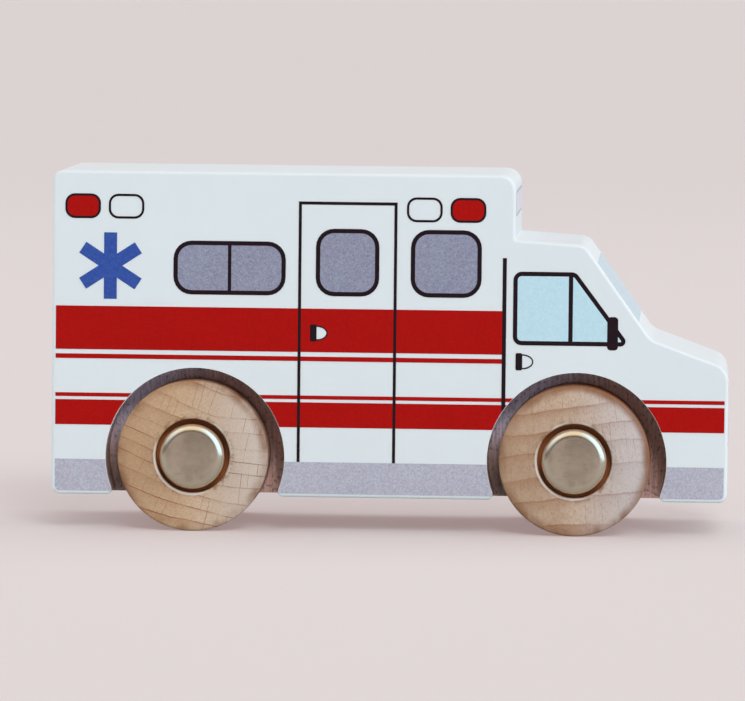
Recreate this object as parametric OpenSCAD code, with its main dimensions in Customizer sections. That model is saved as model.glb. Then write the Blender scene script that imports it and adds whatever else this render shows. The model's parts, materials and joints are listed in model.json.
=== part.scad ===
// Painted wooden toy ambulance: one solid body on two steel axles with turned wooden wheels.
// +X is the front, +Y the left side, +Z up. The origin lies on the ground under the middle.

/* [Body] */
// Length of the wooden body
body_l = 111.95; // [100:0.05:124]
// Width of the wooden body
body_w = 36; // [32:0.5:44]
// Height of the body from its underside to the roof
body_h = 53.7; // [48:0.1:60]
// Distance from the roof of the tall rear box down to the cab roof
cab_drop = 10.6; // [8:0.1:13]
// Fall of the cab roof from the box to the windscreen
cab_roof_fall = 0.8; // [0.2:0.1:2]
// Length of the cab roof
cab_roof_l = 11.55; // [9:0.05:12]
// Length that the sloping windscreen covers along the body
windscreen_run = 11; // [9:0.1:12]
// Height of the windscreen's foot above the underside
cowl_h = 26.9; // [25:0.1:28]
// Length of the bonnet
bonnet_l = 12.85; // [11:0.05:15]
// Height of the bonnet's front edge above the underside
nose_h = 22.2; // [20:0.1:24]
// Radius of the rounded edge around both sides
edge_r = 0.6; // [0.4:0.1:1.2]
// Radius of the lower corners
sill_r = 1.4; // [1.3:0.1:2]
// Radius of the roof's rear corner
tail_r = 1.6; // [1.3:0.1:3]
// Radius of the roof's front corner
box_front_r = 2.6; // [1.4:0.1:4]
// Radius in the step between the box and the cab roof
step_r = 0.3; // [0.2:0.1:2]
// Radius over the top of the windscreen
cab_r = 2.5; // [1.4:0.1:4]
// Radius at the foot of the windscreen
cowl_r = 3.5; // [1:0.1:5]
// Radius of the nose
nose_r = 3.2; // [1.4:0.1:5]

/* [Wheels] */
// Wheel diameter
wheel_d = 25; // [24:0.1:26]
// Wheel thickness
wheel_t = 8; // [7:0.1:9]
// Rounding of the wheel's edges
wheel_edge_r = 0.5; // [0.2:0.1:1]
// Diameter of the recess in the wheel's outer face
recess_d = 12.3; // [12:0.1:14]
// Depth of that recess
recess_depth = 2.4; // [1.5:0.1:3]
// Rounding of the recess's mouth
recess_edge_r = 0.3; // [0.1:0.1:0.4]
// Height of the underside above the ground
ground_gap = 5.85; // [5:0.05:7]
// Distance from the rear of the body to the rear axle
rear_overhang = 23.5; // [21:0.1:26]
// Distance from the front axle to the nose
front_overhang = 25.25; // [22:0.05:28]
// Diameter of the round pocket behind each wheel
pocket_d = 29.4; // [28:0.1:31]
// Distance from the axle forwards to the middle of each wheel pocket
pocket_lead = 0.35; // [0:0.05:0.8]
// Distance from the axle down to the middle of each wheel pocket
pocket_drop = 0.25; // [0:0.05:0.8]
// Depth of each wheel pocket
pocket_depth = 8; // [7:0.1:10]
// Border around each pocket that the print leaves bare
pocket_border = 0.2; // [0.1:0.05:0.6]
// Rounding where each pocket runs out through the underside
toe_r = 0.9; // [0.4:0.1:1.2]
// Running gap between a wheel and its pocket's floor
wheel_gap = 0.4; // [0.2:0.1:0.8]

/* [Axles and caps] */
// Axle diameter
axle_d = 4; // [3:0.1:5]
// Clearance around the axle in the body and in the wheels, on the radius
axle_clear = 0.05; // [0.02:0.01:0.1]
// Bevel on the ends of the axle
axle_bevel = 0.4; // [0.2:0.1:0.8]
// Cap diameter
cap_d = 10.8; // [10:0.1:11.6]
// Cap height
cap_h = 4.2; // [3.8:0.1:5]
// Rounding of the cap's face
cap_edge_r = 1; // [0.4:0.1:1.4]
// Depth of the hole that grips the axle
cap_bore_depth = 2.8; // [2:0.1:3.2]
// Gap between a cap and the floor of its recess
cap_gap = 0.3; // [0.1:0.1:0.6]

/* [Side print] */
// Thickness of the printed film
film_t = 0.06; // [0.04:0.01:0.2]
// Height of the silver sill band above the underside
sill_h = 5.85; // [4:0.05:7]
// Height of the lower red band above the underside
lower_band_z = 11.6; // [10.5:0.05:13]
// Width of the lower red band
lower_band_h = 4.15; // [3:0.05:5]
// Gap between the lower band and its pinstripe
lower_pin_gap = 0.52; // [0.3:0.02:1]
// Width of the lower pinstripe
lower_pin_h = 0.62; // [0.3:0.02:1]
// Distance from the roof down to the upper red band
upper_band_drop = 22.4; // [22:0.1:24]
// Width of the upper red band
upper_band_h = 7.2; // [5:0.1:8]
// Gap between the upper band and its pinstripe
upper_pin_gap = 0.75; // [0.3:0.05:1]
// Width of the upper pinstripe
upper_pin_h = 0.75; // [0.3:0.05:1]
// Distance from the roof down to the two tall windows
window_drop = 9.15; // [8.5:0.05:10]
// Width of the line around each window
window_line = 0.72; // [0.3:0.02:0.8]
// Corner radius of the saloon windows
window_r = 3; // [1.2:0.05:3.5]
// Height of the divided window
wide_window_h = 8.9; // [7.2:0.1:10]
// Height of the two tall windows
tall_window_h = 11.15; // [8:0.05:12]
// Width of the door's outline
door_line = 0.5; // [0.3:0.05:0.8]
// Distance from the roof down to the door
door_drop = 4.7; // [3:0.1:7]
// Width of the line behind the cab door
cab_line = 0.66; // [0.3:0.02:1]
// Distance from that line to the front of the box
cab_line_inset = 1.7; // [1.2:0.1:3]
// Distance from the cab roof down to that line
cab_line_drop = 3.05; // [2:0.05:5]
// Width of a warning lamp
lamp_w = 5.9; // [4:0.1:7]
// Height of a warning lamp
lamp_h = 4.1; // [3:0.1:5]
// Corner radius of a warning lamp
lamp_r = 1.6; // [0.6:0.1:1.8]
// Width of the line around a warning lamp
lamp_line = 0.38; // [0.2:0.01:0.6]
// Gap between two lamps of a pair
lamp_gap = 1.3; // [0.6:0.1:2]
// Distance from the roof down to the lamps
lamp_drop = 3.8; // [3:0.1:5]
// Distance from the rear of the body to the rear lamps
rear_lamp_inset = 2.05; // [1.3:0.05:3]
// Distance from the front lamps to the front of the box
front_lamp_inset = 4.85; // [3:0.05:7]
// Length of the star's bars
star_l = 11; // [8:0.1:12]
// Rise of the star's slanting bars, in degrees
star_rise = 33; // [25:1:40]
// Width of the star's bars
star_w = 2.15; // [1.2:0.05:3]
// Distance from the rear of the body to the star's centre
star_x = 9.6; // [8:0.1:12]
// Distance from the roof down to the star's centre
star_drop = 15.7; // [15:0.1:17]
// Length of the cab window along its lower edge
cab_window_l = 19.45; // [18:0.05:20]
// Length of the cab window along its upper edge
cab_window_top_l = 10.3; // [9:0.05:12]
// Height of the cab window above the wheel pocket
cab_window_lift = 4.4; // [3:0.1:5]
// Distance from the cab roof down to the cab window
cab_window_drop = 5.25; // [4:0.05:6]
// Distance that the cab window reaches back past the front of the box
cab_window_back = 0.25; // [0:0.05:1]
// Corner radius of the cab window
cab_window_r = 1.4; // [0.8:0.1:2]
// Radius of its pointed front corner
cab_window_tip_r = 0.85; // [0.8:0.05:1.2]
// Distance from the cab window's rear edge to its post
cab_post_x = 9.5; // [7:0.1:11]
// Distance from the cab window's rear edge to the mirror
mirror_x = 15.55; // [14:0.05:16]
// Width of the mirror
mirror_w = 1.8; // [1:0.05:2]
// Height of the mirror
mirror_h = 5.5; // [4:0.1:6.5]
// Width of a door handle's grip
grip_w = 1.1; // [0.6:0.05:1.5]
// Height of a door handle's grip
grip_h = 2.85; // [2:0.05:4]
// Length of the rounded plate in front of the grip
plate_l = 1.85; // [1.2:0.05:2.5]
// Width of the line around that plate
plate_line = 0.22; // [0.1:0.02:0.4]

/* [Front and rear print] */
// Margin between the windscreen and the upper and lower corners of its slope
windscreen_margin = 3.5; // [2.5:0.1:5]
// Height of the marker panel on the front of the box
marker_h = 4.2; // [2:0.1:5]
// Distance from the roof down to the marker panel
marker_drop = 2.7; // [2.6:0.1:4]
// Distance from each side to the marker panel
marker_inset = 3.5; // [1:0.1:6]
// Width of a headlamp
headlamp_w = 6.4; // [4:0.1:8]
// Height of a headlamp
headlamp_h = 4.4; // [3:0.1:6]
// Width of the grille
grille_w = 13; // [8:0.5:14]
// Number of bars in the grille
grille_bars = 3; // [2:1:4]
// Distance from each side to the pair of rear doors
rear_door_inset = 5.5; // [4:0.1:7]
// Width of a rear window
rear_window_w = 8.6; // [6:0.1:9.4]
// Width of a tail lamp
tail_lamp_w = 2.4; // [1.5:0.1:3]
// Height of a tail lamp
tail_lamp_h = 5.6; // [4:0.1:8]

/* [Hidden] */
$fn = 96;
// Distance that each cut runs past the face it starts from
overrun = 1;
// Straight steps in the arc of one rounded corner, and across the rounded side edge
arc_steps = 6;
edge_steps = 4;
// Straight steps in a pocket's arc, and in the fillet at each of its feet
pocket_steps = 64;
toe_steps = 6;

// Print along the box, from its rear to its front, as shares of its length:
// the ends of the divided window, of the door's window and of the window in front of the door
window_shares = [[0.262, 0.505], [0.57, 0.707], [0.775, 0.928]];
// the two uprights of the door
door_shares = [0.5355, 0.742];
// How far the mirror's middle stands above the window's foot, as a share of its height
mirror_lift_share = 0.38;
// Height of a handle's plate, as a share of its grip
plate_h_share = 0.88;
// Place of the side handle in front of the door's line, in widths of its grip
handle_place_share = 2.6;
// Place of the cab handle in front of the cab window's rear edge, in widths of its grip
cab_handle_place_share = 1.45;
// Height of the side door's handle, as a share of the upper band above its lower edge
handle_lift_share = 0.44;
// Drop of the cab handle's middle below the cab window, in heights of its grip
cab_handle_drop_share = 0.96;
// Divider in a window, as a share of the line around it
divider_share = 0.8;
// Height of the headlamps' middle, as a share of the nose's
headlamp_lift_share = 0.52;
// Mouth of the grille, as a share of a headlamp's height
grille_h_share = 0.8;

tail_x = -body_l / 2;
nose_x = body_l / 2;
cowl_x = nose_x - bonnet_l;
cab_top_x = cowl_x - windscreen_run;
box_x = cab_top_x - cab_roof_l;
box_l = box_x - tail_x;
under_z = ground_gap;
roof_z = under_z + body_h;
step_z = roof_z - cab_drop;
cab_top_z = step_z - cab_roof_fall;
cowl_z = under_z + cowl_h;
nose_z = under_z + nose_h;
side_y = body_w / 2;

// Side outline of the body: each corner is [x, z, radius], anticlockwise seen from the right
body_corners = [
    [tail_x, under_z, sill_r],
    [nose_x, under_z, sill_r],
    [nose_x, nose_z, nose_r],
    [cowl_x, cowl_z, cowl_r],
    [cab_top_x, cab_top_z, cab_r],
    [box_x, step_z, step_r],
    [box_x, roof_z, box_front_r],
    [tail_x, roof_z, tail_r]
];

wheel_z = wheel_d / 2;
pocket_z = wheel_z - pocket_drop;
rear_axle_x = tail_x + rear_overhang;
front_axle_x = nose_x - front_overhang;
wheel_in_y = side_y - pocket_depth + wheel_gap;
wheel_out_y = wheel_in_y + wheel_t;
cap_in_y = wheel_out_y - recess_depth + cap_gap;
axle_half = cap_in_y + cap_bore_depth;
bore_r = axle_d / 2 + axle_clear;

// Print: places that more than one shape follows
door_left = tail_x + box_l * door_shares[0];
door_right = tail_x + box_l * door_shares[1];
cab_line_x = box_x - cab_line_inset;
upper_band_z = roof_z - upper_band_drop - upper_band_h;
saloon_z = roof_z - window_drop - tall_window_h;
lamp_z = roof_z - lamp_drop - lamp_h;
cab_window_left = box_x - cab_window_back;
cab_window_bottom = pocket_z + pocket_d / 2 + pocket_border + cab_window_lift;
cab_window_top = step_z - cab_window_drop;
mirror_left = cab_window_left + mirror_x;
mirror_centre_z = cab_window_bottom + mirror_h * mirror_lift_share;
windscreen_rise = cab_top_z - cowl_z;
windscreen_l = norm([windscreen_run, windscreen_rise]);
windscreen_lean = atan2(windscreen_run, windscreen_rise);

// Saloon windows, each with its rear end, its front end and its height
saloon_heights = [wide_window_h, tall_window_h, tall_window_h];
saloon_places = [
    for (k = [0 : len(window_shares) - 1])
        [for (share = window_shares[k]) tail_x + box_l * share, saloon_heights[k]]
];
// Lamps along the roof: the red ones stand at both ends, the white ones inside them
red_lamp_places = [tail_x + rear_lamp_inset, box_x - front_lamp_inset - lamp_w];
white_lamp_places = [
    red_lamp_places[0] + lamp_w + lamp_gap,
    red_lamp_places[1] - lamp_w - lamp_gap
];
side_handle = [
    door_left + grip_w * handle_place_share,
    upper_band_z + upper_band_h * handle_lift_share
];
cab_handle = [
    cab_window_left + grip_w * cab_handle_place_share,
    cab_window_bottom - grip_h * cab_handle_drop_share
];

// Outlines

function unit(v) = v / norm(v);
function left_of(v) = [-v[1], v[0]];
function wrap(i, n) = (i + n) % n;

// Point reached from a corner when both of its edges move to their left by d
function corner_shift(before, after, d) = d * (before + after) / (1 + before * after);

// Points of one rounded corner: edges a to b and b to c, radius r, after moving inwards by d
function corner_arc(a, b, c, r, d) =
    let (
        along = unit(b - a),
        onward = unit(c - b),
        before = left_of(along),
        after = left_of(onward),
        turn = atan2(along[0] * onward[1] - along[1] * onward[0], along * onward),
        bend = turn < 0 ? -1 : 1,
        radius = max(r - bend * d, 0),
        centre = b + corner_shift(before, after, d + bend * radius),
        start = atan2(before[1], before[0])
    )
    radius == 0 ? [centre] :
    [for (k = [0 : arc_steps])
        let (angle = start + turn * k / arc_steps)
        centre - bend * radius * [cos(angle), sin(angle)]];

// Closed outline through corners [x, z, radius], moved inwards by d
function outline(corners, d = 0) =
    let (n = len(corners))
    [for (i = [0 : n - 1])
        let (
            a = corners[wrap(i - 1, n)],
            b = corners[i],
            c = corners[wrap(i + 1, n)]
        )
        each corner_arc([a[0], a[1]], [b[0], b[1]], [c[0], c[1]], b[2], d)];

// Corners of an upright rectangle with its lower left corner at x, z
function rectangle(x, z, w, h, r) = [
    [x, z, r],
    [x + w, z, r],
    [x + w, z + h, r],
    [x, z + h, r]
];

cab_window_corners = [
    [cab_window_left, cab_window_bottom, cab_window_r],
    [cab_window_left + cab_window_l, cab_window_bottom, cab_window_tip_r],
    [cab_window_left + cab_window_top_l, cab_window_top, cab_window_r],
    [cab_window_left, cab_window_top, cab_window_r]
];

function saloon_corners(place) =
    rectangle(place[0], saloon_z, place[1] - place[0], place[2], window_r);
function lamp_corners(x) = rectangle(x, lamp_z, lamp_w, lamp_h, lamp_r);

// Front half of an ellipse beside a handle's grip, moved inwards by d
function plate_outline(place, d = 0) =
    [for (k = [0 : 2 * arc_steps])
        let (angle = 90 * (k / arc_steps - 1))
        place + [(plate_l - d) * cos(angle), (grip_h * plate_h_share / 2 - d) * sin(angle)]];

// Body

// Rings of the side outline across the body: they shrink round the edge of each side
edge_rings = [
    for (k = [0 : edge_steps])
        let (angle = 90 * k / edge_steps)
        [edge_r * (1 - sin(angle)), side_y - edge_r * (1 - cos(angle))]
];
body_rings = concat(
    [for (k = [0 : edge_steps]) [edge_rings[k][0], -edge_rings[k][1]]],
    [for (k = [edge_steps : -1 : 0]) edge_rings[k]]
);

module body_block() {
    count = len(outline(body_corners));
    last = len(body_rings) - 1;
    points = [
        for (ring = body_rings)
            for (p = outline(body_corners, ring[0])) [p[0], ring[1], p[1]]
    ];
    walls = [
        for (i = [0 : last - 1])
            for (j = [0 : count - 1])
                let (
                    here = i * count + j,
                    next = i * count + wrap(j + 1, count)
                )
                each [[here, here + count, next], [next, here + count, next + count]]
    ];
    right_face = [for (j = [0 : count - 1]) j];
    left_face = [for (j = [count - 1 : -1 : 0]) last * count + j];
    polyhedron(points, concat([right_face, left_face], walls));
}

// Turns a shape that stands on the ground plane so that its height runs out to one side
module to_side(side) {
    rotate([side == "right" ? 90 : -90, 0, 0]) children();
}

// Arch of a wheel pocket round its middle, from toe to toe: a fillet that rises from the underside,
// the round pocket, and a fillet that falls back. Its open end runs past the underside.
function arch_outline() =
    let (
        r = pocket_d / 2,
        drop = pocket_z - under_z,
        toe = [sqrt(pow(r + toe_r, 2) - pow(drop - toe_r, 2)), toe_r - drop],
        lean = -atan2(toe[1], toe[0]),
        sweep = 90 + lean,
        fillet = [for (k = [0 : toe_steps])
            let (angle = 270 - sweep * k / toe_steps)
            toe + toe_r * [cos(angle), sin(angle)]],
        round = [for (k = [1 : pocket_steps - 1])
            let (angle = (180 + 2 * lean) * k / pocket_steps - lean)
            r * [cos(angle), sin(angle)]],
        foot = 2 * fillet[0] - fillet[1],
        front = concat([[foot[0], foot[1] - overrun], foot], [for (k = [1 : toe_steps]) fillet[k]])
    )
    concat(front, round, [for (k = [len(front) - 1 : -1 : 0]) [-front[k][0], front[k][1]]]);

// Wheel pocket, cut from one side
module wheel_pocket(x, side) {
    translate([x + pocket_lead, 0, pocket_z])
        mirror([0, side == "left" ? 1 : 0, 0])
            translate([0, pocket_depth - side_y, 0])
                rotate([90, 0, 0])
                    linear_extrude(pocket_depth + overrun)
                        polygon(arch_outline());
}

module axle_bore(x) {
    translate([x, 0, wheel_z])
        rotate([90, 0, 0])
            cylinder(r = bore_r, h = body_w, center = true);
}

module body() {
    color("whitesmoke")
        difference() {
            body_block();
            for (x = [rear_axle_x, front_axle_x]) {
                axle_bore(x);
                for (side = ["right", "left"]) wheel_pocket(x, side);
            }
        }
}

// Running gear

module axle(x) {
    r = axle_d / 2;
    color("silver")
        translate([x, 0, wheel_z])
            rotate([90, 0, 0])
                rotate_extrude()
                    polygon([
                        [0, -axle_half],
                        [r - axle_bevel, -axle_half],
                        [r, axle_bevel - axle_half],
                        [r, axle_half - axle_bevel],
                        [r - axle_bevel, axle_half],
                        [0, axle_half]
                    ]);
}

// Turned disc with rounded edges, a through bore and a recess for the cap
module wheel(x, side) {
    r = wheel_d / 2;
    recess_r = recess_d / 2;
    recess_y = wheel_out_y - recess_depth;
    color("burlywood")
        translate([x, 0, wheel_z])
            to_side(side)
                rotate_extrude()
                    polygon(outline([
                        [bore_r, wheel_in_y, 0],
                        [r, wheel_in_y, wheel_edge_r],
                        [r, wheel_out_y, wheel_edge_r],
                        [recess_r, wheel_out_y, recess_edge_r],
                        [recess_r, recess_y, 0],
                        [bore_r, recess_y, 0]
                    ]));
}

// Pressed cap with a rounded face and a blind hole that grips the axle
module cap(x, side) {
    r = cap_d / 2;
    hole_r = axle_d / 2;
    color("lightgray")
        translate([x, 0, wheel_z])
            to_side(side)
                rotate_extrude()
                    polygon(outline([
                        [hole_r, cap_in_y, 0],
                        [r, cap_in_y, 0],
                        [r, cap_in_y + cap_h, cap_edge_r],
                        [0, cap_in_y + cap_h, 0],
                        [0, axle_half, 0],
                        [hole_r, axle_half, 0]
                    ]));
}

// Side print

// Lays a flat shape drawn in x and z on the flat part of one side of the body
module print_side(side) {
    mirror([0, side == "left" ? 1 : 0, 0])
        translate([0, -side_y, 0])
            rotate([90, 0, 0])
                linear_extrude(film_t)
                    intersection() {
                        side_field();
                        union() children();
                    }
}

// Flat part of the side, inside the rounded edge and outside the pockets
module side_field() {
    difference() {
        polygon(outline(body_corners, edge_r));
        for (x = [rear_axle_x, front_axle_x])
            translate([x + pocket_lead, pocket_z]) circle(r = pocket_d / 2 + pocket_border);
    }
}

module line_ring(corners, line) {
    difference() {
        polygon(outline(corners));
        polygon(outline(corners, line));
    }
}

// Level stripe between two places along the body
module stripe(x0, x1, z, h) {
    translate([x0, z]) square([x1 - x0, h]);
}

// Upright line with its middle at x
module upright(x, z0, z1, line) {
    translate([x - line / 2, z0]) square([line, z1 - z0]);
}

module door_marks() {
    top = roof_z - door_drop;
    upright(door_left, under_z + sill_h, top, door_line);
    upright(door_right, under_z + sill_h, top, door_line);
    stripe(door_left - door_line / 2, door_right + door_line / 2, top - door_line, door_line);
    upright(cab_line_x, under_z, step_z - cab_line_drop, cab_line);
}

module handle_mark(place) {
    h = grip_h;
    polygon(outline(rectangle(place[0] - grip_w, place[1] - h / 2, grip_w, h, grip_w / 4)));
}

module handles() {
    for (place = [side_handle, cab_handle]) {
        handle_mark(place);
        difference() {
            polygon(plate_outline(place));
            polygon(plate_outline(place, plate_line));
        }
    }
}

module mirror_mark() {
    polygon(outline(rectangle(
        mirror_left, mirror_centre_z - mirror_h / 2, mirror_w, mirror_h, mirror_w / 3
    )));
}

module red_bands(side) {
    lower = under_z + lower_band_z;
    upper = upper_band_z;
    color("firebrick")
        print_side(side)
            difference() {
                union() {
                    stripe(tail_x, nose_x, lower, lower_band_h);
                    stripe(tail_x, nose_x, lower + lower_band_h + lower_pin_gap, lower_pin_h);
                    stripe(tail_x, cab_line_x, upper, upper_band_h);
                    stripe(tail_x, cab_line_x, upper - upper_pin_gap - upper_pin_h, upper_pin_h);
                }
                door_marks();
                handle_mark(side_handle);
                polygon(plate_outline(side_handle));
            }
}

module sill_bands(side) {
    color("lightsteelblue")
        print_side(side) stripe(tail_x, nose_x, under_z, sill_h);
}

module wide_window_post(line) {
    place = saloon_places[0];
    upright((place[0] + place[1]) / 2, saloon_z, saloon_z + place[2], line);
}

module saloon_panes(side) {
    color("slategray")
        print_side(side)
            difference() {
                for (place = saloon_places) polygon(outline(saloon_corners(place), window_line));
                wide_window_post(window_line * divider_share);
            }
}

module saloon_frames(side) {
    color("black")
        print_side(side) {
            for (place = saloon_places) line_ring(saloon_corners(place), window_line);
            intersection() {
                polygon(outline(saloon_corners(saloon_places[0]), window_line));
                wide_window_post(window_line * divider_share);
            }
        }
}

module cab_post() {
    upright(cab_window_left + cab_post_x, cab_window_bottom, cab_window_top, window_line);
}

module cab_panes(side) {
    color("lightblue")
        print_side(side)
            difference() {
                polygon(outline(cab_window_corners, window_line));
                cab_post();
                mirror_mark();
            }
}

module cab_frame(side) {
    color("black")
        print_side(side)
            difference() {
                union() {
                    line_ring(cab_window_corners, window_line);
                    intersection() {
                        polygon(outline(cab_window_corners, window_line));
                        cab_post();
                    }
                }
                mirror_mark();
            }
}

module door_lines(side) {
    color("black")
        print_side(side) door_marks();
}

module door_handles(side) {
    color("black") print_side(side) handles();
}

module mirror_print(side) {
    color("black") print_side(side) mirror_mark();
}

module warning_lamps(side) {
    color("firebrick")
        print_side(side)
            for (x = red_lamp_places) polygon(outline(lamp_corners(x), lamp_line));
}

module lamp_outlines(side) {
    color("black")
        print_side(side)
            for (x = concat(red_lamp_places, white_lamp_places)) line_ring(lamp_corners(x), lamp_line);
}

// Three crossed bars
module star(side) {
    color("royalblue")
        print_side(side)
            translate([tail_x + star_x, roof_z - star_drop])
                for (angle = [star_rise, 90, 180 - star_rise])
                    rotate(angle) square([star_l, star_w], center = true);
}

// Front and rear print

// Lays a flat shape drawn in y and z on a face that looks along +X
module print_front(x) {
    translate([x, 0, 0]) rotate([90, 0, 90]) linear_extrude(film_t) children();
}

module print_rear() {
    mirror([1, 0, 0]) print_front(nose_x) children();
}

// Panel in the middle of the sloping face between the cab roof and the bonnet
module windscreen() {
    w = body_w - 2 * edge_r;
    h = windscreen_l - 2 * windscreen_margin;
    color("lightblue")
        translate([cowl_x, 0, cowl_z])
            rotate([0, -windscreen_lean, 0])
                print_front(0)
                    translate([-w / 2, windscreen_margin]) square([w, h]);
}

marker_corners = rectangle(
    marker_inset - side_y, roof_z - marker_drop - marker_h, body_w - 2 * marker_inset, marker_h, edge_r
);

module marker_post() {
    upright(0, roof_z - marker_drop - marker_h, roof_z - marker_drop, lamp_line);
}

module marker_panel() {
    color("slategray")
        print_front(box_x)
            difference() {
                polygon(outline(marker_corners, lamp_line));
                marker_post();
            }
}

module marker_outline() {
    color("black")
        print_front(box_x) {
            line_ring(marker_corners, lamp_line);
            intersection() {
                polygon(outline(marker_corners, lamp_line));
                marker_post();
            }
        }
}

headlamp_bottom = under_z + (nose_z - under_z) * headlamp_lift_share - headlamp_h / 2;
headlamp_y = side_y - 2 * edge_r - headlamp_w;

module headlamps() {
    color("lightblue")
        print_front(nose_x)
            for (y = [headlamp_y, -headlamp_y - headlamp_w])
                line_ring(rectangle(y, headlamp_bottom, headlamp_w, headlamp_h, lamp_r), window_line);
}

// Outlined mouth with level bars across it
module grille() {
    h = headlamp_h * grille_h_share;
    bottom = headlamp_bottom + (headlamp_h - h) / 2;
    mouth = rectangle(-grille_w / 2, bottom, grille_w, h, lamp_r);
    pitch = h / (grille_bars + 1);
    color("black")
        print_front(nose_x) {
            line_ring(mouth, lamp_line);
            intersection() {
                polygon(outline(mouth, lamp_line));
                for (k = [1 : grille_bars])
                    stripe(-grille_w / 2, grille_w / 2, bottom + k * pitch - lamp_line / 2, lamp_line);
            }
        }
}

rear_door_w = body_w - 2 * rear_door_inset;
rear_door_top = roof_z - door_drop;
rear_window_inset = (rear_door_w / 2 - rear_window_w) / 2;

function rear_window_corners(y) = rectangle(
    y, rear_door_top - rear_window_inset - wide_window_h, rear_window_w, wide_window_h, window_r
);
rear_window_places = [rear_window_inset, -rear_window_inset - rear_window_w];

module rear_panes() {
    color("slategray")
        print_rear()
            for (y = rear_window_places) polygon(outline(rear_window_corners(y), window_line));
}

// Outline of the two doors, the line between them and the frames of their windows
module rear_door_lines() {
    bottom = under_z + sill_h;
    color("black")
        print_rear() {
            line_ring(
                rectangle(-rear_door_w / 2, bottom, rear_door_w, rear_door_top - bottom, door_line),
                door_line
            );
            upright(0, bottom, rear_door_top, door_line);
            for (y = rear_window_places) line_ring(rear_window_corners(y), window_line);
        }
}

module tail_lamps() {
    bottom = under_z + lower_band_z;
    y = side_y - edge_r - (rear_door_inset - edge_r + tail_lamp_w) / 2;
    color("firebrick")
        print_rear()
            for (place = [y, -y - tail_lamp_w])
                polygon(outline(rectangle(place, bottom, tail_lamp_w, tail_lamp_h, tail_lamp_w / 4)));
}

body();
axle(front_axle_x);  // front_axle
axle(rear_axle_x);  // rear_axle
wheel(front_axle_x, "right");  // wheel_front_right
wheel(front_axle_x, "left");  // wheel_front_left
wheel(rear_axle_x, "right");  // wheel_rear_right
wheel(rear_axle_x, "left");  // wheel_rear_left
cap(front_axle_x, "right");  // cap_front_right
cap(front_axle_x, "left");  // cap_front_left
cap(rear_axle_x, "right");  // cap_rear_right
cap(rear_axle_x, "left");  // cap_rear_left
red_bands("right");  // red_bands_right
red_bands("left");  // red_bands_left
sill_bands("right");  // sill_bands_right
sill_bands("left");  // sill_bands_left
saloon_panes("right");  // saloon_panes_right
saloon_panes("left");  // saloon_panes_left
saloon_frames("right");  // saloon_frames_right
saloon_frames("left");  // saloon_frames_left
cab_panes("right");  // cab_panes_right
cab_panes("left");  // cab_panes_left
cab_frame("right");  // cab_frame_right
cab_frame("left");  // cab_frame_left
door_lines("right");  // door_lines_right
door_lines("left");  // door_lines_left
door_handles("right");  // door_handles_right
door_handles("left");  // door_handles_left
mirror_print("right");  // mirror_right
mirror_print("left");  // mirror_left
warning_lamps("right");  // warning_lamps_right
warning_lamps("left");  // warning_lamps_left
lamp_outlines("right");  // lamp_outlines_right
lamp_outlines("left");  // lamp_outlines_left
star("right");  // star_right
star("left");  // star_left
windscreen();
marker_panel();
marker_outline();
headlamps();
grille();
rear_panes();
rear_door_lines();
tail_lamps();
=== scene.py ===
"""Painted wooden toy ambulance: the finished surfaces over its frame, in metres."""

import json
import math
from functools import cache, reduce

import bmesh
import bpy
import numpy as np
from bpy.props import FloatProperty, FloatVectorProperty, PointerProperty
from bpy.types import NodeSocket, Operator, Panel, PropertyGroup
from mathutils import Matrix, Vector

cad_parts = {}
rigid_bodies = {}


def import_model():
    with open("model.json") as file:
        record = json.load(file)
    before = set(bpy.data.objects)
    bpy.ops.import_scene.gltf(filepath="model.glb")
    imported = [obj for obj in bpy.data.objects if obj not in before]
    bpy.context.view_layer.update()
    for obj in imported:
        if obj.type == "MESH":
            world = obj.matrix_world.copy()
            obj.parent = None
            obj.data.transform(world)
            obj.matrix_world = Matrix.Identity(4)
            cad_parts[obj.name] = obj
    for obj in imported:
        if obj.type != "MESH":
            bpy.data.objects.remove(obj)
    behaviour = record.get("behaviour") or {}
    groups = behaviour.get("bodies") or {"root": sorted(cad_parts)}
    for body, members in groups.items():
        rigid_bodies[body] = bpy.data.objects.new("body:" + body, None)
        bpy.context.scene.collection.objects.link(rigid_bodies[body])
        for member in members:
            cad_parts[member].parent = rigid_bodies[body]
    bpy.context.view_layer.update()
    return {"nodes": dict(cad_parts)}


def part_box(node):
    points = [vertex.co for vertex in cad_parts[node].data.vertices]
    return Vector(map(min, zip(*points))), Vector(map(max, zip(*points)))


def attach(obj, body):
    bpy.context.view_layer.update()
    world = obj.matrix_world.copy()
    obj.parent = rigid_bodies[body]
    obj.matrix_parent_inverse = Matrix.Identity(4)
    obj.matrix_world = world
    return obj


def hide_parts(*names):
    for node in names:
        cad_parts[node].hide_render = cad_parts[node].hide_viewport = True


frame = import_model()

bl_info = {
    "name": "Toy ambulance",
    "version": (1, 0, 0),
    "blender": (4, 5, 0),
    "location": "3D View > Sidebar > Toy ambulance",
    "description": "Builds the painted body, turned wheels, steel caps and print of a wooden toy",
    "category": "Add Mesh",
}

MM = 0.001
SIDES = {"right": -1, "left": 1}
ENDS = ("front", "rear")
CORNERS = [(end, side, sign) for end in ENDS for side, sign in SIDES.items()]
# Image that the camera is framed for, in pixels
IMAGE_W = 745
SENSOR_W = 36.0
CLIP_END = 100.0
# Where each lamp's light comes from, and the angle that the lamp covers in degrees
KEY_FROM, KEY_WIDTH = (0.1, 0.4, 0.91), 55.0
FILL_FROM, FILL_WIDTH = (0.22, -0.78, 0.58), 26.0
SIDE_FROM, SIDE_WIDTH = (0.93, -0.2, 0.31), 30.0


# Settings


def length(name, description, millimetres, low=0.0):
    """A size in metres whose default and lowest value are given in millimetres."""
    return FloatProperty(
        name=name, description=description, default=millimetres * MM, min=low * MM,
        precision=5, subtype="DISTANCE", unit="LENGTH",
    )


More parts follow.
